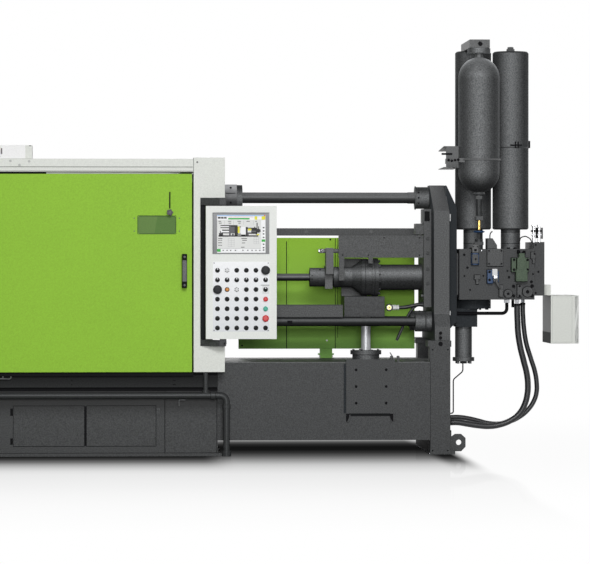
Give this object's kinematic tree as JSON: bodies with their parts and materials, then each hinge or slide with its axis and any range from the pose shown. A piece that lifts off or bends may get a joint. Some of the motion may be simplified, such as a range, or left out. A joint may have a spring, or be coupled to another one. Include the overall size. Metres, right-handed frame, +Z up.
{
  "type": "cold chamber die casting machine",
  "caption": "Horizontal casting press: guarded clamp with sliding doors and operator panel, shot cylinder in a C-frame, accumulators on a manifold.",
  "frame": {"origin": "on the floor, under the fixed platen's die face, on the machine's centreline", "axes": "+X to the shot end, +Y to the back, away from the operator, +Z up"},
  "size_m": [5.026, 1.439, 2.568],
  "materials": {
    "dark_paint": "fine textured machine enamel, charcoal grey",
    "black_paint": "satin black enamel",
    "light_paint": "fine textured powder coat, pale grey",
    "green_paint": "fine textured powder coat, bright green",
    "ground_steel": "ground and polished steel",
    "dark_rod": "dark hard coat on round steel",
    "brushed_plate": "brushed stainless sheet",
    "window": "green tinted pane",
    "black_plastic": "moulded plastic",
    "screen": "lit display behind a clear panel",
    "red_plastic": "moulded plastic",
    "green_plastic": "moulded plastic",
    "hose_rubber": "smooth hydraulic hose cover",
    "zinc_fitting": "bright plated fittings",
    "blue_paint": "dark blue valve enamel"
  },
  "bodies": {
    "machine": {"clamp_base": "dark_paint", "shot_base": "dark_paint", "mounting_plate": "dark_paint", "fixed_platen": "dark_paint", "clamp_platen": "dark_paint", "tie_bars": "ground_steel", "bar_nuts": "dark_paint", "clamp_cylinder": "dark_paint", "guard_columns": "light_paint", "roof_frame": "light_paint", "fixed_guards": "green_paint", "roof_box": "light_paint", "panel_bracket": "black_paint", "c_frame": "dark_paint", "frame_rods": "dark_rod", "cylinder_plate": "dark_paint", "shot_cylinder": "dark_paint", "shot_sleeve": "ground_steel", "cable_tray": "dark_paint", "support_block": "dark_paint", "lift_cylinder": "dark_paint", "upper_rail": "dark_paint", "rear_panel": "green_paint", "sensor_cover": "dark_paint", "gas_bottles": "dark_paint", "bladder_accumulator": "dark_paint", "accumulator_head": "dark_paint", "accumulator_bracket": "dark_paint", "manifold": "dark_paint", "valves": "blue_paint", "return_cylinder": "dark_paint", "pipework": "dark_paint", "fittings": "zinc_fitting", "pressure_hose": "hose_rubber", "return_hose": "hose_rubber", "electric_box": "light_paint", "sensor_cable": "hose_rubber"},
    "front_door": {"front_door": "green_paint", "door_window": "window", "door_handle": "black_plastic"},
    "star_knob": {"star_knob": "black_plastic"},
    "rear_door": {"rear_door": "green_paint"},
    "moving_platen": {"moving_platen": "dark_paint", "clamp_ram": "ground_steel", "ejector_cylinders": "dark_paint"},
    "ejector_plate": {"ejector_plate": "dark_paint"},
    "plunger": {"plunger_rod": "ground_steel", "rod_coupling": "dark_rod", "sensor_arm": "dark_paint"},
    "operator_panel": {"panel_housing": "light_paint", "panel_screen": "screen", "button_plate": "brushed_plate", "push_buttons": "black_plastic"},
    "emergency_stop": {"emergency_stop": "red_plastic"},
    "start_button": {"start_button": "green_plastic"},
    "stop_button": {"stop_button": "red_plastic"},
    "left_hatch": {"left_hatch": "dark_paint"},
    "right_hatch": {"right_hatch": "dark_paint"},
    "valve_wheel": {"valve_wheel": "blue_paint"}
  },
  "joints": [
    {"name": "front_door_slide", "type": "slide", "parent": "machine", "child": "front_door", "axis": [1, 0, 0], "range_m": [-1.1, 0]},
    {"name": "rear_door_slide", "type": "slide", "parent": "machine", "child": "rear_door", "axis": [1, 0, 0], "range_m": [-1.1, 0]},
    {"name": "knob_turn", "type": "hinge", "parent": "front_door", "child": "star_knob", "pos_m": [-0.067, -0.66, 1.488], "axis": [0, 1, 0], "range_deg": [-180, 180]},
    {"name": "clamp_slide", "type": "slide", "parent": "machine", "child": "moving_platen", "axis": [1, 0, 0], "range_m": [-0.4, 0]},
    {"name": "ejector_slide", "type": "slide", "parent": "moving_platen", "child": "ejector_plate", "axis": [1, 0, 0], "range_m": [0, 0.095]},
    {"name": "plunger_slide", "type": "slide", "parent": "machine", "child": "plunger", "axis": [1, 0, 0], "range_m": [-0.34, 0]},
    {"name": "panel_swing", "type": "hinge", "parent": "machine", "child": "operator_panel", "pos_m": [0.255, -0.725, 1.1], "axis": [0, 0, 1], "range_deg": [-75, 30]},
    {"name": "left_hatch_hinge", "type": "hinge", "parent": "machine", "child": "left_hatch", "pos_m": [-1.018, -0.6043, 0.186], "axis": [0, 0, 1], "range_deg": [-110, 0]},
    {"name": "right_hatch_hinge", "type": "hinge", "parent": "machine", "child": "right_hatch", "pos_m": [-0.152, -0.6043, 0.186], "axis": [0, 0, 1], "range_deg": [0, 110]},
    {"name": "valve_wheel_turn", "type": "hinge", "parent": "machine", "child": "valve_wheel", "pos_m": [1.865, -0.25, 1.374], "axis": [0, 0, 1], "range_deg": [0, 270]},
    {"name": "emergency_stop_press", "type": "slide", "parent": "operator_panel", "child": "emergency_stop", "axis": [0, 1, 0], "range_m": [0, 0.006]},
    {"name": "start_press", "type": "slide", "parent": "operator_panel", "child": "start_button", "axis": [0, 1, 0], "range_m": [0, 0.004], "stiffness_N_per_m": 400, "springref_m": -0.003},
    {"name": "stop_press", "type": "slide", "parent": "operator_panel", "child": "stop_button", "axis": [0, 1, 0], "range_m": [0, 0.004], "stiffness_N_per_m": 400, "springref_m": -0.003}
  ]
}
